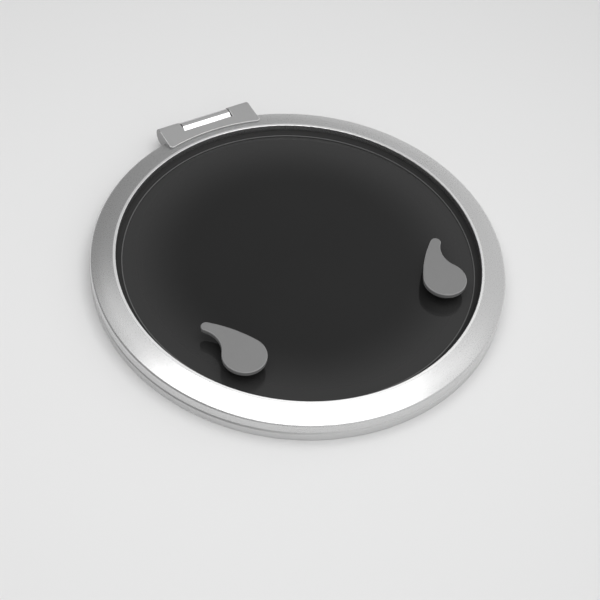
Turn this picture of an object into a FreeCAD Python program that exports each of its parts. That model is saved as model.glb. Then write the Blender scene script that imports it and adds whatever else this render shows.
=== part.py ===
"""Round opening porthole: a base ring for the deck or coaming, a hinged lid ring that
carries a smoked pane, and two lever latches that pass through the pane.

Frame: millimetres, +Z out of the mounting face, +Y towards the hinge, and the origin at
the centre of the base ring on its mounting face. The lid is closed and unlatched.
"""
import FreeCAD, Part
import math
import os
import re

import Sketcher
from FreeCAD import Placement, Rotation, Vector

doc = FreeCAD.newDocument("opening_porthole")

# ---------------------------------------------------------------- driving dimensions
# alias, value in millimetres (angles in degrees), what it sets
DIMENSIONS = (
    # overall
    ("lid_radius", 170.0, "outside of the lid ring"),
    ("lid_height", 22.3, "mounting face to the land round the pane"),
    ("ring_width", 20.5, "lid rim in to the edge of the land"),
    ("closing_gap", 0.3, "between the lid's inner skirt and the seal seat"),
    # base ring
    ("base_inset", 0.3, "lid rim to base rim"),
    ("base_height", 7.6, "top of the base's outer flange"),
    ("base_chamfer", 1.0, "on the base's top outer edge"),
    ("seat_height", 6.0, "top of the sunk seat that holds the seal"),
    ("lip_height", 3.8, "mounting face to the underside of the catch lip"),
    ("lip_reach", 7.0, "catch lip, from the cut-out wall inwards"),
    ("gasket_width", 5.4, "seal groove"),
    ("gasket_depth", 3.0, "seal groove"),
    ("gasket_inset", 4.3, "pane pocket wall to the middle of the groove"),
    ("groove_wall", 1.5, "between the groove and the cut-out wall"),
    ("fixing_count", 8.0, "tapped fixing holes"),
    ("fixing_hole", 2.1, "radius of a fixing hole"),
    ("fixing_depth", 5.8, "depth of a fixing hole"),
    ("bedding_width", 4.0, "bedding groove in the mounting face"),
    ("bedding_depth", 0.8, "bedding groove in the mounting face"),
    # lid ring
    ("lid_gap", 1.6, "shadow gap between base and lid rims"),
    ("rim_side", 8.2, "height of the lid's outer side"),
    ("rim_round", 2.2, "rounding on top of the lid's side"),
    ("edge_round", 0.4, "small roundings"),
    ("crown_radius", 110.0, "curve of the lid's sloping top"),
    ("land_width", 2.3, "flat land round the pane"),
    ("land_step", 0.3, "land above the sloping top"),
    ("glazing_overlap", 3.6, "ring over the edge of the pane"),
    ("skirt_wall", 1.5, "wall below the lid that holds the retainer"),
    ("skirt_gap", 0.6, "skirt to the seat's wall"),
    # glazing
    ("pane_recess", 8.8, "land to the top of the pane"),
    ("pane_thick", 5.5, "pane"),
    ("glazing_cover", 1.2, "glazing seal between pane and ring"),
    ("glazing_edge", 1.1, "glazing seal round the pane's edge"),
    ("bezel_width", 5.5, "seal's bezel, inside the land"),
    ("bezel_lip", 0.8, "height of the bezel's inner edge"),
    ("bezel_rise", 3.2, "height of the bezel at the ring"),
    ("bezel_hollow", 8.8, "curve of the bezel's slope"),
    ("bezel_nose", 1.0, "rounding of the bezel's inner edge"),
    ("retainer_width", 9.0, "ring nut under the pane"),
    ("spanner_notch", 2.6, "radius of the ring nut's spanner notches"),
    ("spanner_notches", 4.0, "count of spanner notches"),
    # hinge
    ("pin_outset", 4.3, "hinge pin outside the lid rim"),
    ("pin_radius", 2.5, "hinge pin"),
    ("pin_clearance", 0.05, "pin to bush, radial"),
    ("bush_wall", 1.0, "hinge bush"),
    ("bush_length", 13.0, "hinge bush's barrel"),
    ("bush_flange", 0.8, "hinge bush's flange thickness"),
    ("bush_flange_reach", 2.0, "hinge bush's flange past its barrel"),
    ("side_gap", 0.1, "bush flange to leaf"),
    ("knuckle_radius", 7.0, "leaf's rolled end"),
    ("knuckle_gap", 0.7, "leaf's rolled end to the top of the base, at the least"),
    ("leaf_width", 87.0, "hinge leaf"),
    ("leaf_cover", 12.5, "leaf's front edge inside the lid rim"),
    ("leaf_corner", 2.6, "leaf's front corners"),
    ("leaf_edge", 0.5, "rounding of the leaf's top edge"),
    ("leaf_skin", 1.2, "metal left over the leaf's screws and pin"),
    ("notch_width", 46.9, "gap between the knuckles"),
    ("lug_swing", 7.5, "furthest that the lug reaches towards the lid from the pin"),
    ("notch_gap", 0.4, "lug to the lid as it swings"),
    ("lug_inner", 5.9, "lug's inner face from the pin"),
    ("lug_outer", 6.4, "lug's outer face from the pin"),
    ("lug_crest", 6.9, "lug's crest above the pin"),
    ("lug_shoulder", 2.5, "end of the lug's flat crest, from the pin towards the lid"),
    ("lug_seat", 3.5, "depth of the flat on the base for the lug"),
    ("plug_length", 4.5, "end plug behind the pin"),
    ("lug_screw_spacing", 24.0, "between the lug's screws"),
    ("lug_screw_height", 4.1, "lug's screws above the mounting face"),
    ("screw_shank", 2.0, "radius of the fixing screws"),
    ("screw_head", 3.5, "radius of their heads"),
    ("screw_head_depth", 2.9, "height of their heads"),
    ("head_clearance", 0.15, "round a sunk head"),
    ("socket_radius", 1.5, "across a head's hexagon socket, to a corner"),
    ("socket_share", 0.6, "depth of a socket, of its head's"),
    ("leaf_screw_inset", 7.6, "leaf screws inside the lid rim"),
    ("leaf_screw_edge", 5.2, "leaf screws from the sides of a knuckle"),
    # latches
    ("latch_inset", 19.1, "spindle inside the clear opening"),
    ("latch_angle", 49.7, "spindle round from the front, degrees"),
    ("lever_rise", 5.1, "top of the lever above the land"),
    ("lever_thick", 3.8, "lever blade"),
    ("lever_disc", 17.6, "radius of the lever's round end"),
    ("lever_tip", 4.2, "radius of the lever's tip"),
    ("lever_length", 39.8, "between the centres of both ends"),
    ("lever_angle", 69.1, "lever's direction from +X, degrees"),
    ("lever_hollow", 20.3, "radius of the lever's hollow side"),
    ("lever_bulge", 110.0, "radius of the lever's full side"),
    ("lever_edge", 0.5, "chamfer round the lever's top"),
    ("boss_radius", 8.5, "boss under the lever"),
    ("spindle_radius", 4.0, "spindle"),
    ("running_gap", 0.05, "spindle to bush, radial"),
    ("end_float", 0.1, "spindle's end float"),
    ("drive_size", 5.6, "spindle's square, across flats"),
    ("cross_pin", 1.25, "radius of the lever's cross pin"),
    ("latch_bush_radius", 7.0, "latch bush through the pane"),
    ("latch_flange", 9.5, "radius of the bush's flange"),
    ("latch_flange_thick", 1.8, "bush's flange"),
    ("pane_hole_gap", 0.3, "bush to the hole in the pane"),
    ("washer_thick", 0.8, "washers above and below the pane"),
    ("inner_washer", 10.5, "radius of the inner washer"),
    ("nut_size", 19.0, "latch nut, across flats"),
    ("nut_thick", 2.6, "latch nut"),
    ("thrust_thick", 1.0, "thrust washer"),
    ("thrust_radius", 8.0, "thrust washer"),
    ("o_ring_section", 0.6, "radius of the O-ring's section"),
    ("cam_gap", 0.3, "cam lever below the catch lip"),
    ("cam_thick", 2.1, "cam lever"),
    ("cam_hub", 9.0, "radius of the cam lever's hub"),
    ("nose_radius", 5.0, "end of the cam's nose"),
    ("nose_gap", 1.5, "latched nose to the cut-out wall"),
    ("grip_length", 34.5, "hub to the end of the inner grip, between centres"),
    ("grip_tip", 5.5, "end of the inner grip"),
    ("cam_screw_head", 4.5, "radius of the cam screw's head"),
    ("cam_screw_head_depth", 1.1, "cam screw's head"),
    ("cam_screw_length", 8.0, "cam screw's shank"),
)

sheet = doc.addObject("Spreadsheet::Sheet", "dims")
for row, (alias, size, note) in enumerate(DIMENSIONS, start=1):
    sheet.set(f"A{row}", alias)
    sheet.set(f"B{row}", str(size))
    sheet.set(f"C{row}", note)
    sheet.setAlias(f"B{row}", alias)
doc.recompute()
ALIASES = {alias for alias, _, _ in DIMENSIONS}

# ------------------------------------------------------- sizes worked out from those
LID_LOW = "(base_height + lid_gap)"
BASE_RADIUS = "(lid_radius - base_inset)"
LAND_RADIUS = "(lid_radius - ring_width)"
CROWN_FOOT = f"({LAND_RADIUS} + land_width)"
PANE_RADIUS = f"({LAND_RADIUS} + glazing_overlap)"
POCKET_RADIUS = f"({PANE_RADIUS} + glazing_edge)"
SKIRT_RADIUS = f"({POCKET_RADIUS} + skirt_wall)"
SEAT_RADIUS = f"({SKIRT_RADIUS} + skirt_gap)"
SKIRT_LOW = "(seat_height + closing_gap)"
PANE_TOP = "(lid_height - pane_recess)"
PANE_LOW = f"({PANE_TOP} - pane_thick)"
LEDGE = f"({PANE_TOP} + glazing_cover)"
GROOVE_MIDDLE = f"({POCKET_RADIUS} - gasket_inset)"
GROOVE_INNER = f"({GROOVE_MIDDLE} - gasket_width / 2)"
GROOVE_OUTER = f"({GROOVE_MIDDLE} + gasket_width / 2)"
GROOVE_FLOOR = "(seat_height - gasket_depth)"
CUTOUT_RADIUS = f"({GROOVE_INNER} - groove_wall)"
CLEAR_RADIUS = f"({CUTOUT_RADIUS} - lip_reach)"
FIXING_RADIUS = f"(({SEAT_RADIUS} + {BASE_RADIUS}) / 2)"

PIN_Y = "(lid_radius + pin_outset)"
LEAF_TOP = "max(lid_height; base_height + knuckle_gap + 2 * knuckle_radius)"
PIN_Z = f"({LEAF_TOP} - knuckle_radius)"
LEAF_FRONT = "(lid_radius - leaf_cover)"
NOTCH_Y = f"({PIN_Y} - lug_swing - notch_gap)"
LUG_HALF = "(notch_width / 2 - bush_flange - side_gap)"
LUG_FLAT_Y = f"({BASE_RADIUS} - lug_seat)"
LUG_OUTER_Y = f"({PIN_Y} + lug_outer)"
BUSH_RADIUS = "(pin_radius + pin_clearance + bush_wall)"
LEAF_SCREW_RADIUS = "(lid_radius - leaf_screw_inset)"
LEAF_SCREW_NEAR = "(notch_width / 2 + leaf_screw_edge)"
LEAF_SCREW_FAR = "(leaf_width / 2 - leaf_screw_edge)"
LEAF_SCREW_TOP = f"({LEAF_TOP} - leaf_skin)"
HEAD_HOLE = "(screw_head + head_clearance)"
HEAD_HOLE_DEPTH = "(screw_head_depth + head_clearance)"
PIN_START = "(leaf_width / 2 - plug_length)"

LATCH_RADIUS = f"({CLEAR_RADIUS} - latch_inset)"
LATCH_X = f"({LATCH_RADIUS} * sin(latch_angle))"
LATCH_Y = f"(-{LATCH_RADIUS} * cos(latch_angle))"
LEVER_TOP = "(lid_height + lever_rise)"
BLADE_LOW = f"({LEVER_TOP} - lever_thick)"
FLANGE_LOW = f"({PANE_TOP} + washer_thick)"
FLANGE_TOP = f"({FLANGE_LOW} + latch_flange_thick)"
BOSS_LOW = f"({FLANGE_TOP} + end_float)"
INNER_WASHER_LOW = f"({PANE_LOW} - washer_thick)"
NUT_LOW = f"({INNER_WASHER_LOW} - nut_thick)"
CAM_TOP = f"min(lip_height - cam_gap; {NUT_LOW} - thrust_thick - end_float)"
CAM_LOW = f"({CAM_TOP} - cam_thick)"
THRUST_LOW = f"({CAM_TOP} + end_float)"
BUSH_LOW = f"({THRUST_LOW} + thrust_thick)"
BUSH_BORE = "(spindle_radius + running_gap)"
CROSS_PIN_Z = f"(({BOSS_LOW} + {BLADE_LOW}) / 2)"
O_RING_Z = f"({PANE_LOW} + pane_thick / 2)"
O_RING_FLOOR = "(spindle_radius - 2 * o_ring_section)"
NOSE_LENGTH = f"({CUTOUT_RADIUS} - nose_gap - nose_radius - {LATCH_RADIUS})"


# ------------------------------------------------------------------ modelling helpers
def bound(text):
    """Turn sheet aliases in an expression into references to the sheet."""
    return re.sub(r"[a-z_]+", lambda word: f"dims.{word[0]}" if word[0] in ALIASES else word[0], str(text))


def number(text):
    """Present value of an expression."""
    return float(sheet.evalExpression(bound(text)))


def new_body(label):
    body = doc.addObject("PartDesign::Body", label)
    body.Label = label
    return body


def place(body, x="0", y="0", z="0", angle="0"):
    """Bind a body's position, and its turn about +Z."""
    body.Placement = Placement(Vector(), Rotation(Vector(0, 0, 1), 10))
    for path, text in (("Base.x", x), ("Base.y", y), ("Base.z", z), ("Rotation.Angle", angle)):
        body.setExpression(f"Placement.{path}", bound(text))


def sketch_on(body, plane, offset="0", turn="0"):
    """Empty sketch on one of the body's own planes, offset along its normal and turned on it."""
    sketch = body.newObject("Sketcher::SketchObject", f"{body.Name}_sketch")
    face = next(item for item in body.Origin.OriginFeatures if item.Role == plane)
    sketch.AttachmentSupport = (face, "")
    sketch.MapMode = "FlatFace"
    sketch.AttachmentOffset = Placement(Vector(), Rotation(Vector(0, 0, 1), 10))
    sketch.setExpression("AttachmentOffset.Base.z", bound(offset))
    sketch.setExpression("AttachmentOffset.Rotation.Angle", bound(turn))
    return sketch


def constrain(sketch, kind, *where, size):
    """Add one dimension to a sketch and bind it to the sheet."""
    index = sketch.addConstraint(Sketcher.Constraint(kind, *where, number(size)))
    name = f"{kind.lower()}_{index}"
    sketch.renameConstraint(index, name)
    sketch.setExpression(f"Constraints.{name}", bound(size))


def pin_point(sketch, geometry, end, x, y):
    """Fix a point of the sketch at (x, y), each an expression or "0"."""
    for kind, axis, size in (("DistanceX", -2, x), ("DistanceY", -1, y)):
        if size == "0":
            sketch.addConstraint(Sketcher.Constraint("PointOnObject", geometry, end, axis))
        else:
            constrain(sketch, kind, -1, 1, geometry, end, size=size)


def arc_between(start, end, radius):
    """Arc from start to end that bulges to the right of travel; a minus radius, to the left.
    Returns the arc and the sketcher's numbers of its first and last points."""
    chord = end - start
    half = chord.Length / 2
    across = Vector(chord.y, -chord.x, 0).normalize()
    depth = math.sqrt(radius * radius - half * half)
    side = 1 if radius > 0 else -1
    centre = start + chord * 0.5 - across * depth * side
    first, last = (start, end) if side > 0 else (end, start)
    from_angle = math.atan2(first.y - centre.y, first.x - centre.x)
    to_angle = math.atan2(last.y - centre.y, last.x - centre.x)
    if to_angle < from_angle:
        to_angle += 2 * math.pi
    arc = Part.ArcOfCircle(Part.Circle(centre, Vector(0, 0, 1), abs(radius)), from_angle, to_angle)
    return arc, (1, 2) if side > 0 else (2, 1)


def outline(sketch, corners):
    """Closed loop through corners (x, y), or (x, y, radius) where an arc arrives there."""
    spots = [Vector(number(corner[0]), number(corner[1]), 0) for corner in corners]
    edges = []
    for index, corner in enumerate(corners):
        start, end = spots[index - 1], spots[index]
        if len(corner) == 3:
            arc, ends = arc_between(start, end, number(corner[2]))
            edge = sketch.addGeometry(arc)
            radius = corner[2].lstrip("-")
        else:
            edge, ends, radius = sketch.addGeometry(Part.LineSegment(start, end)), (1, 2), None
        edges.append((edge, ends, radius))
    for index, (edge, ends, radius) in enumerate(edges):
        before, before_ends, _ = edges[index - 1]
        sketch.addConstraint(Sketcher.Constraint("Coincident", before, before_ends[1], edge, ends[0]))
        pin_point(sketch, edge, ends[1], *corners[index][:2])
        if radius:
            constrain(sketch, "Radius", edge, size=radius)


def circles(sketch, centres, radius):
    for x, y in centres:
        circle = Part.Circle(Vector(number(x), number(y), 0), Vector(0, 0, 1), number(radius))
        edge = sketch.addGeometry(circle)
        pin_point(sketch, edge, 3, x, y)
        constrain(sketch, "Radius", edge, size=radius)


def box_outline(sketch, left, right, low, high):
    outline(sketch, ((right, low), (right, high), (left, high), (left, low)))


def two_round_outline(sketch, root, tip, length, left_side=None, right_side=None):
    """Outline round a circle at the origin and a smaller one at (length, 0), joined on each
    side by a straight tangent, by a hollow arc ("-radius") or by a full arc ("radius")."""
    big, small, reach = number(root), number(tip), number(length)
    joins = []
    for side, text in ((1, left_side), (-1, right_side)):
        if text is None:
            lean = math.acos((big - small) / reach)
            normal = Vector(math.cos(lean), side * math.sin(lean), 0)
            joins.append((normal * big, Vector(reach, 0, 0) + normal * small, None, None))
            continue
        radius = number(text)
        to_root, to_tip = abs(radius - big), abs(radius - small)
        x = (to_root ** 2 - to_tip ** 2 + reach ** 2) / (2 * reach)
        y = math.sqrt(to_root ** 2 - x ** 2)
        centre = Vector(x, -side * y if radius > 0 else side * y, 0)
        to_big = centre * (-1 if radius > 0 else 1)
        to_small = (centre - Vector(reach, 0, 0)) * (-1 if radius > 0 else 1)
        joins.append((to_big.normalize() * big,
                      Vector(reach, 0, 0) + to_small.normalize() * small, centre, radius))

    def arc(centre, radius, start, end):
        from_angle = math.atan2(start.y - centre.y, start.x - centre.x)
        to_angle = math.atan2(end.y - centre.y, end.x - centre.x)
        if to_angle < from_angle:
            to_angle += 2 * math.pi
        circle = Part.Circle(centre, Vector(0, 0, 1), radius)
        return sketch.addGeometry(Part.ArcOfCircle(circle, from_angle, to_angle))

    (root_left, tip_left, *left), (root_right, tip_right, *right) = joins
    root_arc = arc(Vector(), big, root_left, root_right)
    tip_arc = arc(Vector(reach, 0, 0), small, tip_right, tip_left)
    pin_point(sketch, root_arc, 3, "0", "0")
    pin_point(sketch, tip_arc, 3, length, "0")
    constrain(sketch, "Radius", root_arc, size=root)
    constrain(sketch, "Radius", tip_arc, size=tip)
    # each side runs from the tip to the root on the left, and from the root to the tip on the right
    for start, end, first, last, (centre, radius), text in (
            (tip_left, root_left, (tip_arc, 2), (root_arc, 1), left, left_side),
            (root_right, tip_right, (root_arc, 2), (tip_arc, 1), right, right_side)):
        if centre is None:
            edge, ends = sketch.addGeometry(Part.LineSegment(start, end)), (1, 2)
        elif radius > 0:
            edge, ends = arc(centre, radius, start, end), (1, 2)
        else:
            edge, ends = arc(centre, -radius, end, start), (2, 1)
        sketch.addConstraint(Sketcher.Constraint("Tangent", *first, edge, ends[0]))
        sketch.addConstraint(Sketcher.Constraint("Tangent", edge, ends[1], *last))
        if centre is not None:
            constrain(sketch, "Radius", edge, size=text.lstrip("-"))


def revolve(body, corners):
    """Turn a profile of (radius, height) corners about the body's Z axis."""
    sketch = sketch_on(body, "XZ_Plane")
    outline(sketch, corners)
    feature = body.newObject("PartDesign::Revolution", f"{body.Name}_turned")
    feature.Profile = sketch
    feature.ReferenceAxis = (sketch, ["V_Axis"])
    feature.Angle = 360
    return feature


def groove(body, corners):
    """Turned cut with a profile of (radius, height) corners."""
    doc.recompute()
    before = body.Shape.Volume
    sketch = sketch_on(body, "XZ_Plane")
    outline(sketch, corners)
    feature = body.newObject("PartDesign::Groove", f"{body.Name}_groove")
    feature.Profile = sketch
    feature.ReferenceAxis = (sketch, ["V_Axis"])
    feature.Angle = 360
    doc.recompute()
    assert body.Shape.Volume < before, f"{body.Label}: a turned cut removed nothing"
    return feature


def pad(body, sketch, length, symmetric=False, reverse=False):
    feature = body.newObject("PartDesign::Pad", f"{body.Name}_pad")
    feature.Profile = sketch
    feature.SideType = "Symmetric" if symmetric else "One side"
    feature.Reversed = reverse
    feature.setExpression("Length", bound(length))
    return feature


def pocket(body, sketch, length, symmetric=False, forward=True):
    """Cut along the sketch's normal, against it, or both ways from it."""
    doc.recompute()
    before = body.Shape.Volume
    feature = body.newObject("PartDesign::Pocket", f"{body.Name}_pocket")
    feature.Profile = sketch
    feature.SideType = "Symmetric" if symmetric else "One side"
    feature.Reversed = forward
    feature.setExpression("Length", bound(length))
    doc.recompute()
    assert body.Shape.Volume < before, f"{body.Label}: a pocket removed nothing"
    return feature


def drill(body, centres, radius, start, depth, plane="XY_Plane"):
    """Round holes that start at a height along the plane's normal and run along it."""
    sketch = sketch_on(body, plane, start)
    circles(sketch, centres, radius)
    return pocket(body, sketch, depth)


def ring(label, inner, outer, low, high):
    """Plain flat ring."""
    body = new_body(label)
    revolve(body, ((outer, low), (outer, high), (inner, high), (inner, low)))
    return body


def rim_edges(body, radius, height):
    """Names of the circular edges of a given radius at a given height."""
    doc.recompute()
    names = []
    for index, edge in enumerate(body.Shape.Edges, start=1):
        curve = edge.Curve
        if not isinstance(curve, Part.Circle) or abs(curve.Radius - number(radius)) > 0.01:
            continue
        if abs(curve.Center.z - number(height)) < 0.01 and edge.BoundBox.ZLength < 0.01:
            names.append(f"Edge{index}")
    assert names, f"{body.Label}: no edge of radius {radius} at {height}"
    return names


def flat_edges(body, height, keep=lambda edge: True):
    """Names of the edges that lie at one height."""
    doc.recompute()
    return [f"Edge{index}" for index, edge in enumerate(body.Shape.Edges, start=1)
            if edge.BoundBox.ZLength < 0.001
            and abs(edge.CenterOfMass.z - number(height)) < 0.001 and keep(edge)]


def dress(body, kind, edges, size):
    """Fillet or Chamfer on named edges of the body's last feature."""
    base = body.Tip
    feature = body.newObject(f"PartDesign::{kind}", f"{body.Name}_{kind.lower()}")
    feature.Base = (base, edges)
    feature.setExpression("Radius" if kind == "Fillet" else "Size", bound(size))
    doc.recompute()
    return feature


def mirrored(source, label):
    """The same piece on the other side of the YZ plane."""
    copy = doc.addObject("Part::Mirroring", label)
    copy.Label = label
    copy.Source = source
    copy.Normal = Vector(1, 0, 0)
    return copy


def group(label, members):
    """Several like pieces in one node, as separate solids."""
    compound = doc.addObject("Part::Compound", label)
    compound.Label = label
    compound.Links = members
    return compound


NODES = []


def keep(*pieces):
    NODES.extend(pieces)


# ------------------------------------------------------------------------- base ring
def make_base_frame():
    """Flat flange with a bedding groove below, a sunk seat with the seal's groove, and an
    inner lip that the latches hook under. Tapped holes in the mounting face take the
    screws that come up through the deck."""
    body = new_body("base_frame")
    revolve(body, (
        (CUTOUT_RADIUS, "0"),
        (BASE_RADIUS, "0"),
        (BASE_RADIUS, "base_height - base_chamfer"),
        (f"{BASE_RADIUS} - base_chamfer", "base_height"),
        (SEAT_RADIUS, "base_height"),
        (SEAT_RADIUS, "seat_height"),
        (GROOVE_OUTER, "seat_height"),
        (GROOVE_OUTER, GROOVE_FLOOR),
        (GROOVE_INNER, GROOVE_FLOOR),
        (GROOVE_INNER, "seat_height"),
        (CLEAR_RADIUS, "seat_height"),
        (CLEAR_RADIUS, "lip_height"),
        (CUTOUT_RADIUS, "lip_height"),
    ))
    groove(body, (
        (f"{GROOVE_MIDDLE} + bedding_width / 2", "-bedding_depth"),
        (f"{GROOVE_MIDDLE} + bedding_width / 2", "bedding_depth"),
        (f"{GROOVE_MIDDLE} - bedding_width / 2", "bedding_depth"),
        (f"{GROOVE_MIDDLE} - bedding_width / 2", "-bedding_depth"),
    ))
    flat = sketch_on(body, "XY_Plane")
    box_outline(flat, f"-{LUG_HALF}", LUG_HALF, LUG_FLAT_Y, "lid_radius")
    pocket(body, flat, "base_height")
    hole = drill(body, [(f"{FIXING_RADIUS} * sin(180 / fixing_count)",
                         f"{FIXING_RADIUS} * cos(180 / fixing_count)")],
                 "fixing_hole", "0", "fixing_depth")
    circle_of = body.newObject("PartDesign::PolarPattern", "fixing_circle")
    circle_of.Originals = [hole]
    z_axis = next(item for item in body.Origin.OriginFeatures if item.Role == "Z_Axis")
    circle_of.Axis = (z_axis, [""])
    circle_of.Angle = 360
    circle_of.setExpression("Occurrences", bound("fixing_count"))
    body.Tip = circle_of
    drill(body, lug_screw_places(), "screw_shank", f"-{LUG_FLAT_Y}",
          f"{LUG_FLAT_Y} - {SEAT_RADIUS} - closing_gap", plane="XZ_Plane")
    return body


def lug_screw_places():
    return [("lug_screw_spacing / 2", "lug_screw_height"), ("-lug_screw_spacing / 2", "lug_screw_height")]


def make_seal():
    """Rubber ring in the base's groove; the lid's ring nut presses on it."""
    return ring("compression_gasket", GROOVE_INNER, GROOVE_OUTER, GROOVE_FLOOR,
                f"{SKIRT_LOW} - closing_gap / 3")


# -------------------------------------------------------------------------- lid ring
def crown():
    """Corners of the lid's outside, from the foot of its side up to the land."""
    return (
        ("lid_radius", f"{LID_LOW} + edge_round"),
        ("lid_radius", f"{LID_LOW} + rim_side"),
        (CROWN_FOOT, "lid_height - land_step", "crown_radius"),
    )


def make_lid_frame():
    """Domed ring that covers the base, with a pocket for the pane below and a skirt that
    holds the ring nut. It is cut away behind the hinge leaf for the base's lug."""
    body = new_body("lid_frame")
    revolve(body, (
        (POCKET_RADIUS, SKIRT_LOW),
        (SKIRT_RADIUS, SKIRT_LOW),
        (SKIRT_RADIUS, LID_LOW),
        ("lid_radius - edge_round", LID_LOW),
        *crown(),
        (f"{CROWN_FOOT} - land_step / 2", "lid_height"),
        (LAND_RADIUS, "lid_height"),
        (LAND_RADIUS, LEDGE),
        (POCKET_RADIUS, LEDGE),
    ))
    notch = sketch_on(body, "XY_Plane")
    box_outline(notch, "-notch_width / 2", "notch_width / 2", NOTCH_Y, f"{PIN_Y} + knuckle_radius")
    pocket(body, notch, "lid_height")
    places = leaf_screw_places()
    drill(body, places, "screw_shank", LID_LOW, "lid_height")
    drill(body, places, HEAD_HOLE, LID_LOW, HEAD_HOLE_DEPTH)
    dress(body, "Fillet", rim_edges(body, "lid_radius", f"{LID_LOW} + rim_side"), "rim_round")
    dress(body, "Fillet", rim_edges(body, LAND_RADIUS, "lid_height"), "edge_round")
    return body


def leaf_screw_places():
    """Two screws under each knuckle, on one circle."""
    return [(f"{side}{x}", f"sqrt({LEAF_SCREW_RADIUS} ^ 2 - {x} ^ 2)")
            for side in ("", "-") for x in (LEAF_SCREW_NEAR, LEAF_SCREW_FAR)]


def make_pane():
    """Smoked acrylic disc with a hole for each latch bush."""
    body = new_body("smoked_pane")
    revolve(body, ((PANE_RADIUS, PANE_LOW), (PANE_RADIUS, PANE_TOP), ("0", PANE_TOP), ("0", PANE_LOW)))
    drill(body, [(LATCH_X, LATCH_Y), (f"-{LATCH_X}", LATCH_Y)],
          "latch_bush_radius + pane_hole_gap", PANE_LOW, "pane_thick")
    return body


def make_glazing_seal():
    """Black rubber that wraps the pane's edge and shows inside the land as a sloping bezel."""
    body = new_body("glazing_seal")
    bezel = f"{LAND_RADIUS} - bezel_width"
    revolve(body, (
        (PANE_RADIUS, PANE_LOW),
        (POCKET_RADIUS, PANE_LOW),
        (POCKET_RADIUS, LEDGE),
        (LAND_RADIUS, LEDGE),
        (LAND_RADIUS, f"{PANE_TOP} + bezel_rise"),
        (f"{bezel} + bezel_lip", f"{PANE_TOP} + bezel_lip", "-bezel_hollow"),
        (bezel, PANE_TOP, "bezel_nose"),
        (PANE_RADIUS, PANE_TOP),
    ))
    return body


def make_retaining_ring():
    """Ring nut screwed into the skirt from below, with notches for a pin spanner."""
    body = ring("retaining_ring", f"{POCKET_RADIUS} - retainer_width", POCKET_RADIUS, SKIRT_LOW, PANE_LOW)
    notch = drill(body, [(f"{POCKET_RADIUS} - retainer_width", "0")], "spanner_notch", SKIRT_LOW,
                  f"{PANE_LOW} - {SKIRT_LOW}")
    pattern = body.newObject("PartDesign::PolarPattern", "spanner_notch_circle")
    pattern.Originals = [notch]
    z_axis = next(item for item in body.Origin.OriginFeatures if item.Role == "Z_Axis")
    pattern.Axis = (z_axis, [""])
    pattern.Angle = 360
    pattern.setExpression("Occurrences", bound("spanner_notches"))
    body.Tip = pattern
    return body


# ----------------------------------------------------------------------------- hinge
def make_hinge_leaf():
    """Cast leaf over the lid's rim: flat on top, rolled round the pin at its outer end, and
    notched in the middle for the base's lug."""
    body = new_body("hinge_leaf")
    side = sketch_on(body, "YZ_Plane")
    outline(side, (
        (f"{LEAF_FRONT} - leaf_width / 4", f"{PIN_Z} - knuckle_radius"),
        (PIN_Y, f"{PIN_Z} - knuckle_radius"),
        (f"{PIN_Y} + knuckle_radius", PIN_Z, "knuckle_radius"),
        (PIN_Y, LEAF_TOP, "knuckle_radius"),
        (f"{LEAF_FRONT} - leaf_width / 4", LEAF_TOP),
    ))
    pad(body, side, "leaf_width", symmetric=True)
    # front edge, concentric with the ring
    groove(body, (
        (LEAF_FRONT, "0"),
        (LEAF_FRONT, "lid_height * 2"),
        (f"{LEAF_FRONT} / 2", "lid_height * 2"),
        (f"{LEAF_FRONT} / 2", "0"),
    ))
    doc.recompute()
    corners = [f"Edge{index}" for index, edge in enumerate(body.Shape.Edges, start=1)
               if edge.BoundBox.ZLength > number("knuckle_radius * 1.9")
               and edge.BoundBox.XLength + edge.BoundBox.YLength < 0.001
               and math.hypot(edge.CenterOfMass.x, edge.CenterOfMass.y) < number(LEAF_FRONT) + 0.01]
    dress(body, "Fillet", corners, "leaf_corner")
    # bed on the lid's rim
    groove(body, (
        *crown(),
        (f"{CROWN_FOOT} - land_width", "lid_height - land_step"),
        (f"{CROWN_FOOT} - land_width", f"{LID_LOW} - lid_gap"),
        ("lid_radius", f"{LID_LOW} - lid_gap"),
    ))
    notch = sketch_on(body, "XY_Plane")
    box_outline(notch, "-notch_width / 2", "notch_width / 2", NOTCH_Y, f"{PIN_Y} + knuckle_radius * 2")
    pocket(body, notch, LEAF_TOP)
    dress(body, "Fillet", flat_edges(body, LEAF_TOP, on_leaf_rim), "leaf_edge")
    drill(body, [(PIN_Y, PIN_Z)], "pin_radius", f"-leaf_width / 2 + plug_length",
          "leaf_width - plug_length", plane="YZ_Plane")
    drill(body, leaf_screw_places(), "screw_shank", LID_LOW, f"{LEAF_SCREW_TOP} - {LID_LOW}")
    return body


def on_leaf_rim(edge):
    """True for the edges of the leaf's flat top, apart from the line where it starts to roll."""
    middle = edge.CenterOfMass
    return middle.y < number(PIN_Y) - 0.01


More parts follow.
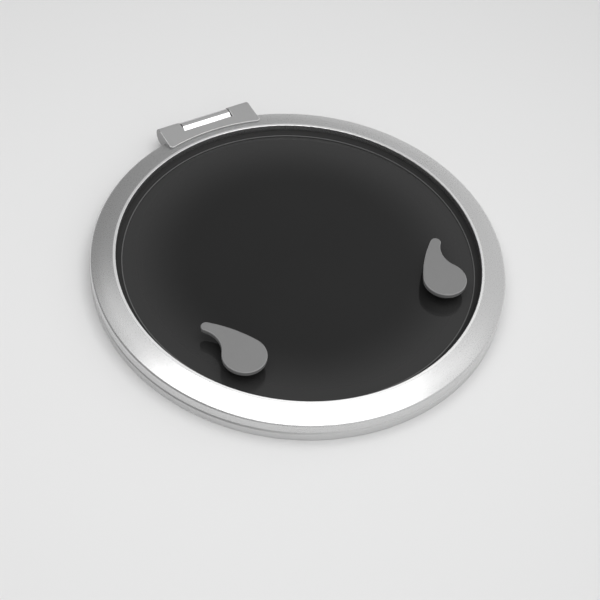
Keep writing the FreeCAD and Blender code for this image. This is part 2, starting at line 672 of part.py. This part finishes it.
def make_hinge_lug():
    """Middle knuckle: a cast foot against the flat on the base, and a neck up to the pin.
    Past a flat crest it slopes down to the lid, so that the notch clears it as the lid swings."""
    body = new_body("hinge_lug")
    side = sketch_on(body, "YZ_Plane")
    outline(side, (
        (LUG_FLAT_Y, "0"),
        (LUG_OUTER_Y, "0"),
        (LUG_OUTER_Y, PIN_Z),
        (f"{LUG_OUTER_Y} - lug_crest", f"{PIN_Z} + lug_crest", "lug_crest"),
        (f"{PIN_Y} - lug_shoulder", f"{PIN_Z} + lug_crest"),
        (f"{PIN_Y} - lug_inner", f"{PIN_Z} + sqrt(lug_swing ^ 2 - lug_inner ^ 2)"),
        (f"{PIN_Y} - lug_inner", "base_height"),
        (LUG_FLAT_Y, "base_height"),
    ))
    pad(body, side, f"2 * {LUG_HALF}", symmetric=True)
    drill(body, [(PIN_Y, PIN_Z)], BUSH_RADIUS, f"-{LUG_HALF}", f"2 * {LUG_HALF}", plane="YZ_Plane")
    places = lug_screw_places()
    drill(body, places, HEAD_HOLE, f"-{LUG_OUTER_Y}", HEAD_HOLE_DEPTH, plane="XZ_Plane")
    drill(body, places, "screw_shank", f"-{LUG_OUTER_Y}", f"{LUG_OUTER_Y} - {LUG_FLAT_Y}",
          plane="XZ_Plane")
    return body


def make_hinge_bushes():
    """Flanged nylon bush in each end of the lug."""
    bush = new_body("hinge_bush_right")
    bore = "pin_radius + pin_clearance"
    flange = f"{BUSH_RADIUS} + bush_flange_reach"
    revolve(bush, (
        (BUSH_RADIUS, "-bush_length"),
        (BUSH_RADIUS, "0"),
        (flange, "0"),
        (flange, "bush_flange"),
        (bore, "bush_flange"),
        (bore, "-bush_length"),
    ))
    bush.Placement = Placement(Vector(), Rotation(Vector(0, 1, 0), 90))
    for path, text in (("x", LUG_HALF), ("y", PIN_Y), ("z", PIN_Z)):
        bush.setExpression(f"Placement.Base.{path}", bound(text))
    return group("hinge_bushes", [bush, mirrored(bush, "hinge_bush_left")])


def make_pin(label, start, length):
    """Plain round bar on the hinge's axis."""
    body = new_body(label)
    sketch = sketch_on(body, "YZ_Plane", start)
    circles(sketch, [(PIN_Y, PIN_Z)], "pin_radius")
    pad(body, sketch, length)
    return body


def make_screw(label, head, head_depth, length):
    """Screw on +Z, with its head's face at the origin and its shank running up."""
    body = new_body(label)
    revolve(body, (
        ("0", "0"),
        (head, "0"),
        (head, head_depth),
        ("screw_shank", head_depth),
        ("screw_shank", length),
        ("0", length),
    ))
    socket = sketch_on(body, "XY_Plane")
    corners = [(f"socket_radius * cos({turn * 60})", f"socket_radius * sin({turn * 60})" if turn % 3 else "0")
               for turn in range(6)]
    outline(socket, corners)
    pocket(body, socket, f"{head_depth} * socket_share")
    return body


def make_leaf_screws():
    """Four screws up through the lid's rim into the leaf."""
    length = f"{LEAF_SCREW_TOP} - {LID_LOW} - head_clearance"
    screws = []
    for name, (x, y) in zip(("near", "far"), leaf_screw_places()):
        screw = make_screw(f"leaf_screw_{name}", "screw_head", "screw_head_depth", length)
        place(screw, x, y, f"{LID_LOW} + head_clearance")
        screws += [screw, mirrored(screw, f"leaf_screw_{name}_left")]
    return group("leaf_screws", screws)


def make_lug_screws():
    """Two screws through the lug's foot into the edge of the base."""
    length = f"{LUG_OUTER_Y} - head_clearance - {SEAT_RADIUS} - closing_gap"
    screw = make_screw("lug_screw_right", "screw_head", "screw_head_depth", length)
    screw.Placement = Placement(Vector(), Rotation(Vector(1, 0, 0), 90))
    for path, text in (("x", "lug_screw_spacing / 2"), ("y", f"{LUG_OUTER_Y} - head_clearance"),
                       ("z", "lug_screw_height")):
        screw.setExpression(f"Placement.Base.{path}", bound(text))
    return group("lug_screws", [screw, mirrored(screw, "lug_screw_left")])


# --------------------------------------------------------------------------- latches
def latch_ring(name, inner, outer, low, high):
    """Flat ring round the right latch's spindle."""
    body = ring(f"right_{name}", inner, outer, low, high)
    place(body, LATCH_X, LATCH_Y)
    return body


def make_latch_bush():
    """Flanged bush through the pane, its flange outside."""
    body = new_body("right_latch_bush")
    revolve(body, (
        ("latch_bush_radius", BUSH_LOW),
        ("latch_bush_radius", FLANGE_LOW),
        ("latch_flange", FLANGE_LOW),
        ("latch_flange", FLANGE_TOP),
        (BUSH_BORE, FLANGE_TOP),
        (BUSH_BORE, BUSH_LOW),
    ))
    place(body, LATCH_X, LATCH_Y)
    return body


def make_latch_nut():
    """Thin hexagon nut that clamps the bush to the pane."""
    hexagon = doc.addObject("Part::Prism", "right_nut_hexagon")
    hexagon.Polygon = 6
    hexagon.setExpression("Circumradius", bound("nut_size / 2 / cos(30)"))
    hexagon.setExpression("Height", bound("nut_thick"))
    bore = doc.addObject("Part::Cylinder", "right_nut_bore")
    bore.setExpression("Radius", bound("latch_bush_radius"))
    bore.setExpression("Height", bound("nut_thick"))
    nut = doc.addObject("Part::Cut", "right_latch_nut")
    nut.Label = "right_latch_nut"
    nut.Base = hexagon
    nut.Tool = bore
    place(nut, LATCH_X, LATCH_Y, NUT_LOW)
    return nut


def make_spindle():
    """Turned spindle with a groove for the O-ring, a square for the cam lever, a cross hole
    for the lever's pin and a tapped hole for the cam screw."""
    body = new_body("right_latch_spindle")
    revolve(body, (
        ("spindle_radius", CAM_TOP),
        ("spindle_radius", f"{O_RING_Z} - o_ring_section"),
        (O_RING_FLOOR, f"{O_RING_Z} - o_ring_section"),
        (O_RING_FLOOR, f"{O_RING_Z} + o_ring_section"),
        ("spindle_radius", f"{O_RING_Z} + o_ring_section"),
        ("spindle_radius", BLADE_LOW),
        ("0", BLADE_LOW),
        ("0", CAM_TOP),
    ))
    square = sketch_on(body, "XY_Plane", CAM_LOW)
    box_outline(square, "-drive_size / 2", "drive_size / 2", "-drive_size / 2", "drive_size / 2")
    pad(body, square, "cam_thick")
    drill(body, [("0", "0")], "screw_shank", CAM_LOW, "cam_screw_length")
    cross = sketch_on(body, "YZ_Plane")
    circles(cross, [("0", CROSS_PIN_Z)], "cross_pin")
    pocket(body, cross, "spindle_radius * 3", symmetric=True)
    place(body, LATCH_X, LATCH_Y, angle="lever_angle")
    return body


def make_cross_pin():
    """Pin through the lever's boss and the spindle."""
    body = new_body("right_lever_pin")
    sketch = sketch_on(body, "YZ_Plane")
    circles(sketch, [("0", CROSS_PIN_Z)], "cross_pin")
    pad(body, sketch, "2 * boss_radius - 2 * edge_round", symmetric=True)
    place(body, LATCH_X, LATCH_Y, angle="lever_angle")
    return body


def make_o_ring():
    """Rubber ring in the spindle's groove."""
    torus = doc.addObject("Part::Torus", "right_o_ring")
    torus.Label = "right_o_ring"
    torus.setExpression("Radius1", bound("spindle_radius - o_ring_section"))
    torus.setExpression("Radius2", bound("o_ring_section"))
    place(torus, LATCH_X, LATCH_Y, O_RING_Z)
    return torus


def make_lever():
    """Comma-shaped lever: a round end over the spindle, a tapering tail that is hollow on
    the ring's side, and a boss below."""
    body = new_body("right_lever")
    blade = sketch_on(body, "XY_Plane", BLADE_LOW)
    two_round_outline(blade, "lever_disc", "lever_tip", "lever_length", "lever_bulge", "-lever_hollow")
    pad(body, blade, "lever_thick")
    dress(body, "Chamfer", flat_edges(body, LEVER_TOP), "lever_edge")
    boss = sketch_on(body, "XY_Plane", BOSS_LOW)
    circles(boss, [("0", "0")], "boss_radius")
    pad(body, boss, f"{BLADE_LOW} - {BOSS_LOW}")
    drill(body, [("0", "0")], "spindle_radius", BOSS_LOW, f"{BLADE_LOW} - {BOSS_LOW}")
    cross = sketch_on(body, "YZ_Plane")
    circles(cross, [("0", CROSS_PIN_Z)], "cross_pin")
    pocket(body, cross, "boss_radius * 3", symmetric=True)
    place(body, LATCH_X, LATCH_Y, angle="lever_angle")
    return body


def make_cam_lever():
    """Flat inner lever: a nose that hooks under the base's lip, and a grip opposite. Its
    square hole fits the spindle."""
    body = new_body("right_cam_lever")
    nose = sketch_on(body, "XY_Plane", CAM_LOW)
    two_round_outline(nose, "cam_hub", "nose_radius", NOSE_LENGTH)
    pad(body, nose, "cam_thick")
    grip = sketch_on(body, "XY_Plane", CAM_LOW, turn="180")
    two_round_outline(grip, "cam_hub", "grip_tip", "grip_length")
    pad(body, grip, "cam_thick")
    dress(body, "Fillet", flat_edges(body, CAM_TOP), "edge_round")
    square = sketch_on(body, "XY_Plane", CAM_LOW, turn="lever_angle - latch_angle + 180")
    box_outline(square, "-drive_size / 2", "drive_size / 2", "-drive_size / 2", "drive_size / 2")
    pocket(body, square, "cam_thick")
    place(body, LATCH_X, LATCH_Y, angle="latch_angle - 180")
    return body


def make_cam_screw():
    """Low-headed screw that holds the cam lever on the spindle."""
    screw = make_screw("right_cam_screw", "cam_screw_head", "cam_screw_head_depth",
                       "cam_screw_head_depth + cam_screw_length")
    place(screw, LATCH_X, LATCH_Y, f"{CAM_LOW} - cam_screw_head_depth")
    return screw


# ----------------------------------------------------------------------- the assembly
keep(make_base_frame(), make_seal(), make_hinge_lug(), make_lug_screws(), make_hinge_bushes())
keep(make_lid_frame(), make_pane(), make_glazing_seal(), make_retaining_ring())
keep(make_hinge_leaf(), make_leaf_screws())
keep(make_pin("hinge_pin", f"-{PIN_START}", f"2 * {PIN_START}"))
keep(make_pin("hinge_end_plug", PIN_START, "plug_length"))

right_latch = [
    latch_ring("bush_washer", "latch_bush_radius", "latch_flange", PANE_TOP, FLANGE_LOW),
    make_latch_bush(),
    latch_ring("inner_washer", "latch_bush_radius", "inner_washer", INNER_WASHER_LOW, PANE_LOW),
    make_latch_nut(),
    latch_ring("thrust_washer", BUSH_BORE, "thrust_radius", THRUST_LOW, BUSH_LOW),
    make_spindle(),
    make_o_ring(),
    make_lever(),
    make_cross_pin(),
    make_cam_lever(),
    make_cam_screw(),
]
for piece in right_latch:
    keep(piece, mirrored(piece, piece.Label.replace("right", "left")))

doc.recompute()
for item in doc.Objects:
    assert not {"Invalid", "Error"} & set(item.State), f"{item.Label}: {item.State}"
for node in NODES:
    assert not node.Shape.isNull() and node.Shape.isValid(), f"{node.Label}: bad shape"

os.makedirs("parts", exist_ok=True)
for node in NODES:
    node.Shape.exportStep(f"parts/{node.Label}.step")
print(f"{len(NODES)} nodes")
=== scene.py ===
"""Round opening porthole: the frame's pieces with their finishes, and the rubber pieces that
the frame only stands in for. Metres, +Z out of the mounting face, +Y towards the hinge."""

import math

import bmesh
import bpy
from mathutils import Matrix, Vector


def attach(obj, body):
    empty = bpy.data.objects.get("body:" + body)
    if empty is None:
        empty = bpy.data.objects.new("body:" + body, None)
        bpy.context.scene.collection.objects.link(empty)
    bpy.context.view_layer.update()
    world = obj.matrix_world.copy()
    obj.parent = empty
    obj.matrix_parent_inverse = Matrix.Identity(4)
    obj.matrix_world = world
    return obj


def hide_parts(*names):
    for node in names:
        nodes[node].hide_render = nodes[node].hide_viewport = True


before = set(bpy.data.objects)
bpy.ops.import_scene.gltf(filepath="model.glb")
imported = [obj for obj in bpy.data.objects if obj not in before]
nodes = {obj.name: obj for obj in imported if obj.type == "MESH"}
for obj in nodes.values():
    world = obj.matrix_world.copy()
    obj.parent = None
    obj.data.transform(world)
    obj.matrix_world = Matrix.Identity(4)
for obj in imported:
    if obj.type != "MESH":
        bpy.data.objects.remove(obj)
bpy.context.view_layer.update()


# Studio: a plain pale floor of matt paper, one wide soft light overhead and two weak ones
# behind, and grey walls that are brighter to the right and low down. The camera stands in
# front, left of the hinge, and is tilted a little.
SWEEP_HALF = 4.0
SWEEP_GREY = 0.80
SWEEP_DROP = 0.0002

sweep = bpy.data.meshes.new("studio_sweep")
sweep.from_pydata([(-SWEEP_HALF, -SWEEP_HALF, -SWEEP_DROP), (SWEEP_HALF, -SWEEP_HALF, -SWEEP_DROP),
                   (SWEEP_HALF, SWEEP_HALF, -SWEEP_DROP), (-SWEEP_HALF, SWEEP_HALF, -SWEEP_DROP)],
                  [], [(0, 1, 2, 3)])
floor = bpy.data.objects.new("studio_sweep", sweep)
bpy.context.scene.collection.objects.link(floor)
paper = bpy.data.materials.new("matt_paper")
paper.use_nodes = True
paper_shader = paper.node_tree.nodes["Principled BSDF"]
paper_shader.inputs["Base Color"].default_value = (SWEEP_GREY, SWEEP_GREY, SWEEP_GREY, 1)
paper_shader.inputs["Roughness"].default_value = 0.9
paper_shader.inputs["Specular IOR Level"].default_value = 0.2
sweep.materials.append(paper)

CAMERA_SIDE = math.radians(-34.07)
CAMERA_RISE = math.radians(49.85)
CAMERA_TILT = math.radians(7.04)
CAMERA_REACH = 1.23205
CAMERA_AIM = Vector((-0.01373, -0.02865, 0))
CAMERA_LENS = 90.9

back = Vector((math.sin(CAMERA_SIDE) * math.cos(CAMERA_RISE),
               -math.cos(CAMERA_SIDE) * math.cos(CAMERA_RISE), math.sin(CAMERA_RISE)))
level = Vector((math.cos(CAMERA_SIDE), math.sin(CAMERA_SIDE), 0))
upright = back.cross(level)
across = level * math.cos(CAMERA_TILT) + upright * math.sin(CAMERA_TILT)
camera = bpy.data.objects.new("camera", bpy.data.cameras.new("camera"))
camera.data.lens = CAMERA_LENS
camera.data.sensor_width = 36
camera.matrix_world = Matrix((
    (*across, 0), (*back.cross(across), 0), (*back, 0), (0, 0, 0, 1))).transposed()
camera.location = CAMERA_AIM + back * CAMERA_REACH
bpy.context.scene.collection.objects.link(camera)
bpy.context.scene.camera = camera
bpy.context.scene.view_settings.view_transform = "Standard"


def soft_box(name, place, aim, width, height, power):
    """Rectangular light at a place given along the camera's right, away and up."""
    light = bpy.data.lights.new(name, "AREA")
    light.shape = "RECTANGLE"
    light.size, light.size_y = width, height
    light.energy = power
    lamp = bpy.data.objects.new(name, light)
    away = Vector((-math.sin(CAMERA_SIDE), math.cos(CAMERA_SIDE), 0))
    spot, target = (level * x + away * y + Vector((0, 0, z)) for x, y, z in (place, aim))
    lamp.location = spot
    lamp.rotation_mode = "QUATERNION"
    lamp.rotation_quaternion = (target - spot).to_track_quat("-Z", "Y")
    bpy.context.scene.collection.objects.link(lamp)


soft_box("overhead_light", place=(0.0, -0.12, 1.0), aim=(0.0, -0.12, 0.0),
         width=1.1, height=0.96, power=6.6)
soft_box("left_light", place=(-0.62, 0.36, 0.95), aim=(0.0, 0.0, 0.0),
         width=0.34, height=0.34, power=0.24)
soft_box("right_light", place=(0.62, 0.34, 0.95), aim=(0.0, 0.0, 0.0),
         width=0.24, height=0.30, power=0.12)

world = bpy.data.worlds.new("studio_walls")
bpy.context.scene.world = world
world.use_nodes = True


class Wire:
    """One socket of a shader. Arithmetic on wires adds Math nodes; add() adds any other."""

    def __init__(self, tree, socket):
        self.tree, self.socket = tree, socket

    def add(self, kind, settings, sockets, out=0):
        """A node of a kind, with its settings made first, then its sockets' values or wires."""
        node = self.tree.nodes.new("ShaderNode" + kind)
        for name, value in settings.items():
            setattr(node, name, value)
        for name, value in sockets.items():
            if isinstance(value, Wire):
                self.tree.links.new(value.socket, node.inputs[name])
            else:
                node.inputs[name].default_value = value
        return Wire(self.tree, node.outputs[out])

    def maths(self, operation, *terms):
        return self.add("Math", {"operation": operation}, dict(enumerate(terms)))

    def __add__(self, other):
        return self.maths("ADD", self, other)

    def __sub__(self, other):
        return self.maths("SUBTRACT", self, other)

    def __rsub__(self, other):
        return self.maths("SUBTRACT", other, self)

    def __mul__(self, other):
        return self.maths("MULTIPLY", self, other)

    __radd__, __rmul__ = __add__, __mul__

    def between(self, low, high):
        """0 below low, 1 above high, and smooth from one to the other."""
        return self.add("MapRange", {"interpolation_type": "SMOOTHSTEP"},
                        {"Value": self, "From Min": low, "From Max": high})


def split(vector):
    """x, y and z of a vector wire."""
    return [vector.add("SeparateXYZ", {}, {"Vector": vector}, out) for out in range(3)]


# brightness of the walls: dim at the left and overhead, brighter to the right and low down
WALLS_DIM = 0.30
WALLS_RIGHT = 0.39
WALLS_LOW = 0.30
sky = Wire(world.node_tree, None)
gaze = sky.add("TexCoord", {}, {}, 0)
gaze_x, gaze_y, gaze_z = split(gaze)
rightward = gaze_x * level.x + gaze_y * level.y
walls = (WALLS_DIM + WALLS_RIGHT * rightward.between(-0.5, 0.5)
         + WALLS_LOW * (1 - gaze_z.between(0.02, 0.30)))
world.node_tree.links.new(walls.socket, world.node_tree.nodes["Background"].inputs["Color"])


# Base ring: the low cast ring that stays on the deck. It is aluminium, turned on its faces
# and satin anodised, with a seat and a groove sunk in it for the seal.
def finish(name, pieces):
    """New material on nodes or objects; returns its first wire and its shader."""
    material = bpy.data.materials.new(name)
    material.use_nodes = True
    for piece in pieces:
        mesh = nodes[piece].data if isinstance(piece, str) else piece.data
        mesh.materials.clear()
        mesh.materials.append(material)
    tree = material.node_tree
    return Wire(tree, None), tree.nodes["Principled BSDF"]


def feed(wire, shader, socket):
    wire.tree.links.new(wire.socket, shader.inputs[socket])


def bumped(start, height, strength, distance):
    return start.add("Bump", {}, {"Height": height, "Strength": strength, "Distance": distance})


def around(spot):
    """Square of a spot's distance from the rings' axis."""
    x, y, z = split(spot)
    return x * x + y * y


def mixed(amount, dark, light):
    """Colour from dark to light, each a grey or a wire, as amount goes from 0 to 1."""
    ends = {name: end if isinstance(end, Wire) else (end, end, end, 1)
            for name, end in (("A", dark), ("B", light))}
    return amount.add("Mix", {"data_type": "RGBA"}, {"Factor": amount, **ends}, 2)


def noise(start, spot, scale, detail=3.0):
    return start.add("TexNoise", {}, {"Vector": spot, "Scale": scale, "Detail": detail,
                                      "Roughness": 0.6})


def turned_lines(start, spot, pitch):
    """Fine circular tool marks round the ring's own axis, as a wire from 0 to 1."""
    square = around(spot)
    radius = square.maths("SQRT", square)
    height = split(spot)[2]
    along = start.add("CombineXYZ", {}, {"X": radius * (1 / pitch), "Y": 0.0,
                                         "Z": height * (1 / pitch)})
    return noise(start, along, 1.0, 2.0)


def satin_aluminium(name, pieces, dark, light, roughness):
    """Anodised turned metal: fine tool marks and grain, and only a trace of cloudiness."""
    start, shader = finish(name, pieces)
    spot = start.add("TexCoord", {}, {}, 3)
    lines = turned_lines(start, spot, 0.0007)
    cloud = noise(start, spot, 26.0, 4.0)
    grain = noise(start, spot, 1400.0, 2.0)
    tone = mixed(cloud * 0.2 + lines * 0.4 + grain * 0.4, dark, light)
    dull = cloud * 0.02 + grain * 0.06 + (roughness - 0.04)
    feed(tone, shader, "Base Color")
    feed(dull, shader, "Roughness")
    height = lines * 0.35 + grain * 0.65
    feed(bumped(start, height, 0.06, 0.0004), shader, "Normal")
    shader.inputs["Metallic"].default_value = 1.0
    return shader, spot, tone, dull


satin_aluminium("base_satin_aluminium", ["base_frame"], dark=0.66, light=0.76, roughness=0.30)


# Seal: a soft extruded rubber ring pressed into the base's groove, with a rounded crown for
# the lid's ring nut to press on and a waist that lets it squash.
def turned(name, profile, centre=(0.0, 0.0), steps=360):
    """Ring with a closed profile of (radius, height) corners in metres, about an upright axis."""
    shape = bmesh.new()
    rings = []
    for step in range(steps):
        turn = math.tau * step / steps
        rings.append([shape.verts.new((centre[0] + radius * math.cos(turn),
                                       centre[1] + radius * math.sin(turn), height))
                      for radius, height in profile])
    count = len(profile)
    for step, ring in enumerate(rings):
        beside = rings[(step + 1) % steps]
        for corner in range(count):
            after = (corner + 1) % count
            shape.faces.new((ring[corner], beside[corner], beside[after], ring[after]))
    bmesh.ops.recalc_face_normals(shape, faces=shape.faces)
    mesh = bpy.data.meshes.new(name)
    shape.to_mesh(mesh)
    shape.free()
    mesh.shade_smooth()
    mesh.set_sharp_from_angle(angle=math.radians(42))
    piece = bpy.data.objects.new(name, mesh)
    bpy.context.scene.collection.objects.link(piece)
    return piece


def arc(centre, radius, start, end, steps=10):
    """Corners along an arc in a profile, from one angle in degrees to another."""
    angles = (math.radians(start + (end - start) * step / steps) for step in range(steps + 1))
    return [(centre[0] + radius * math.cos(angle), centre[1] + radius * math.sin(angle))
            for angle in angles]


def black_rubber(name, pieces, roughness=0.50):
    """Moulded black rubber with a faint grey bloom and a fine skin."""
    start, shader = finish(name, pieces)
    spot = start.add("TexCoord", {}, {}, 3)
    bloom = noise(start, spot, 40.0, 4.0)
    grain = noise(start, spot, 2200.0, 2.0)
    feed(mixed(bloom, 0.010, 0.020), shader, "Base Color")
    feed(bloom * 0.12 + grain * 0.08 + roughness, shader, "Roughness")
    shader.inputs["Specular IOR Level"].default_value = 0.25
    feed(bumped(start, grain, 0.12, 0.0002), shader, "Normal")
    return shader, spot, bloom, grain


SEAL_MIDDLE = 0.1499
SEAL_HALF = 0.00262
SEAL_FOOT = 0.0030
SEAL_WAIST = 0.0003
SEAL_SHOULDER = 0.0046
SEAL_RISE = 0.00158

seal = turned("seal_ring", [
    (SEAL_MIDDLE - SEAL_HALF, SEAL_FOOT), (SEAL_MIDDLE + SEAL_HALF, SEAL_FOOT),
    (SEAL_MIDDLE + SEAL_HALF, SEAL_FOOT + 0.0005),
    (SEAL_MIDDLE + SEAL_HALF - SEAL_WAIST, SEAL_FOOT + 0.0008),
    (SEAL_MIDDLE + SEAL_HALF - SEAL_WAIST, SEAL_SHOULDER - 0.0003),
    *((SEAL_MIDDLE + (SEAL_HALF - SEAL_WAIST) * math.cos(math.pi * step / 16),
       SEAL_SHOULDER + SEAL_RISE * math.sin(math.pi * step / 16)) for step in range(17)),
    (SEAL_MIDDLE - SEAL_HALF + SEAL_WAIST, SEAL_SHOULDER - 0.0003),
    (SEAL_MIDDLE - SEAL_HALF + SEAL_WAIST, SEAL_FOOT + 0.0008),
    (SEAL_MIDDLE - SEAL_HALF, SEAL_FOOT + 0.0005),
])
black_rubber("seal_rubber", [seal])
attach(seal, "base")
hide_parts("compression_gasket")


# Hinge lug: the cast middle knuckle, with a milled and rubbed top, held to the base's flat
# by two stainless socket screws. Its ends carry flanged nylon bushes for the pin.
def moulded_nylon(name, pieces):
    """Black nylon with the fine grain of its mould and a slight sheen."""
    start, shader = finish(name, pieces)
    spot = start.add("TexCoord", {}, {}, 3)
    grain = noise(start, spot, 1500.0)
    feed(mixed(noise(start, spot, 60.0), 0.030, 0.050), shader, "Base Color")
    feed(grain * 0.12 + 0.39, shader, "Roughness")
    feed(bumped(start, grain, 0.10, 0.0002), shader, "Normal")


satin_aluminium("lug_satin_aluminium", ["hinge_lug"], dark=0.72, light=0.82, roughness=0.26)
satin_aluminium("lug_screw_stainless", ["lug_screws"], dark=0.52, light=0.64, roughness=0.22)
moulded_nylon("hinge_bush_nylon", ["hinge_bushes"])


# Lid ring: the domed aluminium ring over the base, turned and satin anodised. Its crown
# slopes up to a narrow land round the glass, painted paler and rougher as a painted highlight.
LAND_OUTSIDE = 0.1518
LAND_FADE = 5e-5
LAND_TOP = 0.0223
LAND_HIGHLIGHT_GREY = 0.88
LAND_DULL = 0.40

shader, spot, tone, dull = satin_aluminium("lid_satin_aluminium", ["lid_frame"],
                                           dark=0.64, light=0.75, roughness=0.28)
# painted highlight: the flat land at the top is painted paler and rougher than the rest of the
# ring
inside = 1 - around(spot).between(LAND_OUTSIDE ** 2 - LAND_FADE, LAND_OUTSIDE ** 2)
land = inside * split(spot)[2].between(LAND_TOP - 0.0012, LAND_TOP - 0.0006)
feed(mixed(land, tone, LAND_HIGHLIGHT_GREY), shader, "Base Color")
feed(dull - (dull - LAND_DULL) * land, shader, "Roughness")


# Pane: a disc of smoked acrylic, polished, in the lid's pocket, with wiping marks and dust.
# Its colour is painted paler towards its edge, a painted glow for the light that gets in round the
# seal.
PANE_GLOW_FROM = 0.085
PANE_GLOW_TO = 0.142

start, shader = finish("smoked_acrylic", ["smoked_pane"])
spot = start.add("TexCoord", {}, {}, 3)
haze = noise(start, spot, 9.0, 5.0)
specks = noise(start, spot, 900.0, 1.0).between(0.74, 0.80)
# painted glow: the pane's colour grows paler from the middle out to its edge
rim = around(spot).between(PANE_GLOW_FROM ** 2, PANE_GLOW_TO ** 2)
feed(mixed(specks * 0.1 + haze * 0.1 + rim * 0.7, 0.014, 0.058), shader, "Base Color")
feed(haze * 0.06 + specks * 0.10 + 0.04, shader, "Roughness")
shader.inputs["IOR"].default_value = 1.49
shader.inputs["Transmission Weight"].default_value = 0.3
shader.inputs["Specular IOR Level"].default_value = 0.25


# Glazing seal: black extruded rubber that wraps the pane's edge and fills the lid's pocket.
# Its hollow slope shows as a dark bezel inside the land, and ends in a glossy round bead painted
# paler grey as a painted highlight.
BEAD_MIDDLE = (0.14457, 0.01403)
BEAD_RADIUS = 0.00053
BEAD_FADE = 4e-5
BEAD_HIGHLIGHT_GREY = 0.11
SLOPE_FOOT = (0.1453, 0.0142)
SLOPE_TOP = (0.1495, 0.0167)
SLOPE_SAG = 0.0005
SLOPE_STEPS = 12
RIBS = 3
RIB_HEIGHT = 0.00006
PANE_EDGE = 0.1531
POCKET = 0.1542
PANE_LOW = 0.0080
PANE_TOP = 0.0135
LEDGE = 0.0147

slope = []
for step in range(SLOPE_STEPS + 1):
    share = step / SLOPE_STEPS
    rib = RIB_HEIGHT * math.cos(share * math.tau * RIBS)
    sag = SLOPE_SAG * math.sin(share * math.pi) + RIB_HEIGHT - rib
    slope.append((SLOPE_FOOT[0] + (SLOPE_TOP[0] - SLOPE_FOOT[0]) * share,
                  SLOPE_FOOT[1] + (SLOPE_TOP[1] - SLOPE_FOOT[1]) * share - sag))
glazing = turned("glazing_bezel", [
    (PANE_EDGE, PANE_TOP), (PANE_EDGE, PANE_LOW), (POCKET, PANE_LOW), (POCKET, LEDGE),
    (SLOPE_TOP[0], LEDGE),
    *reversed(slope), *arc(BEAD_MIDDLE, BEAD_RADIUS, 10, 260, 14),
])
shader, spot, bloom, grain = black_rubber("bezel_rubber", [glazing])
# painted highlight: the bead is painted paler grey and glossier than the rest of the rubber
bead_outside = BEAD_MIDDLE[0] + BEAD_RADIUS
bead = 1 - around(spot).between(bead_outside ** 2 - BEAD_FADE, bead_outside ** 2)
feed(mixed(bead, mixed(bloom, 0.010, 0.020), BEAD_HIGHLIGHT_GREY), shader, "Base Color")
feed(bloom * 0.12 + grain * 0.08 + 0.50 - bead * 0.26, shader, "Roughness")
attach(glazing, "lid")
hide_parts("glazing_seal")


# Ring nut: a turned aluminium ring screwed into the lid's skirt from below, which holds the
# pane and its seal up. Its notches take a pin spanner.
satin_aluminium("ring_nut_aluminium", ["retaining_ring"],
                dark=0.62, light=0.72, roughness=0.30)


# Hinge leaf: cast in aluminium and powder coated a fine matt grey, on the lid's rim, held by
# screws from below. Its top's edges are painted near white, a painted highlight for the light they
# catch.
def painted(name, pieces, dark, light, edge, roughness, last_highlight_y=None):
    """Powder coat or satin paint with an orange-peel skin; its sloped edge faces are painted paler
    as a painted highlight.
    """
    start, shader = finish(name, pieces)
    spot = start.add("TexCoord", {}, {}, 3)
    peel = noise(start, spot, 1100.0)
    cloud = noise(start, spot, 60.0, 4.0)
    tilt = split(start.add("TexCoord", {}, {}, 1))[2]
    # painted highlight: faces tilted partway between flat and upright are painted paler and
    # glossier, standing in for the light edges catch
    edge_highlight = tilt.between(0.25, 0.50) * (1 - tilt.between(0.88, 0.98))
    if last_highlight_y:
        edge_highlight = edge_highlight * (1 - split(spot)[1].between(last_highlight_y - 0.0012, last_highlight_y))
    edge_highlight = edge_highlight * (peel * 0.4 + 0.7)
    feed(mixed(edge_highlight, mixed(cloud * 0.4 + peel * 0.6, dark, light), edge), shader, "Base Color")
    feed(cloud * 0.06 + peel * 0.04 + (roughness - 0.05) - edge_highlight * 0.08, shader, "Roughness")
    feed(bumped(start, peel, 0.10, 0.0003), shader, "Normal")


LEAF_ROLL_START = 0.1740

painted("leaf_powder_coat", ["hinge_leaf"], dark=0.31, light=0.36, edge=0.90, roughness=0.42,
        last_highlight_y=LEAF_ROLL_START)
satin_aluminium("leaf_screw_stainless", ["leaf_screws"], dark=0.52, light=0.64, roughness=0.22)


# Hinge pin: a plain stainless pin through the leaf's knuckles and the lug's bushes, closed
# in at one end by a black nylon plug.
satin_aluminium("pin_stainless", ["hinge_pin"], dark=0.52, light=0.64, roughness=0.20)
moulded_nylon("plug_nylon", ["hinge_end_plug"])


# Latches: on each side a stainless spindle in a nylon bush through the pane, held by a nut
# and washers, with a rubber O-ring in the bush's bore. The pair mirror each other.
LATCH_X = 0.091216
LATCH_Y = -0.077354
O_RING_MIDDLE = (0.0034, 0.01075)
O_RING_RADIUS = 0.0006

for side, mirror in (("right", 1), ("left", -1)):
    satin_aluminium(f"{side}_spindle_stainless",
                    [f"{side}_{piece}" for piece in ("latch_spindle", "lever_pin", "cam_screw")],
                    dark=0.52, light=0.64, roughness=0.22)
    moulded_nylon(f"{side}_latch_nylon",
                  [f"{side}_{piece}" for piece in ("bush_washer", "inner_washer", "thrust_washer",
                                                   "latch_bush", "latch_nut")])
    ring = turned(f"{side}_o_ring_rubber", arc(O_RING_MIDDLE, O_RING_RADIUS, 0, 345, 23),
                  (mirror * LATCH_X, LATCH_Y), 64)
    black_rubber(f"{side}_ring_rubber", [ring], roughness=0.42)
    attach(ring, f"{side}_latch")
    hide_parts(f"{side}_o_ring")


# Levers and cams: die cast, painted satin grey, pinned to the squares at the two ends of the
# spindles. Their top edges are painted a paler grey, a painted highlight for the light they catch.
painted("lever_satin_grey", ["right_lever", "left_lever", "right_cam_lever", "left_cam_lever"],
        dark=0.178, light=0.216, edge=0.32, roughness=0.45)
